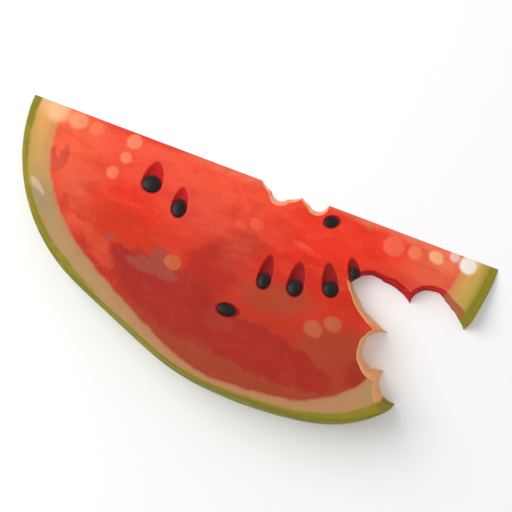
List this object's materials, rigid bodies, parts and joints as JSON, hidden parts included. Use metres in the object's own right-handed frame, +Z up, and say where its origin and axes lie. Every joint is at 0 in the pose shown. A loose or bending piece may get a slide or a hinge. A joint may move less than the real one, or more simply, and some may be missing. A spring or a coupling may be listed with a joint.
{
  "type": "watermelon wedge",
  "caption": "Long wedge of ripe watermelon lying on a cut face, with red flesh, pale rind, green skin, black seeds and bites taken from its edge and one end.",
  "frame": {"origin": "middle of the object's length and depth, on the ground under the lower cut face", "axes": "+X along the melon's long axis, which is the sharp edge, towards the thicker bitten end; +Y from the rind towards the sharp edge; +Z up out of the lower cut face"},
  "size_m": [0.2812, 0.1228, 0.038],
  "materials": {
    "flesh": "wet ripe melon flesh, vermilion at the sharp edge and dark crimson deeper down, with a tan to cream rind and a thin olive green skin",
    "seed": "smooth black seed coat with a soft wet gloss"
  },
  "bodies": {
    "root": {"melon_wedge": "flesh", "front_seed_1": "seed", "front_seed_2": "seed", "front_seed_3": "seed", "front_seed_4": "seed", "front_seed_5": "seed", "front_seed_6": "seed", "front_seed_7": "seed", "front_seed_8": "seed", "back_seed_1": "seed", "back_seed_2": "seed", "back_seed_3": "seed", "back_seed_4": "seed", "back_seed_5": "seed"}
  },
  "joints": []
}
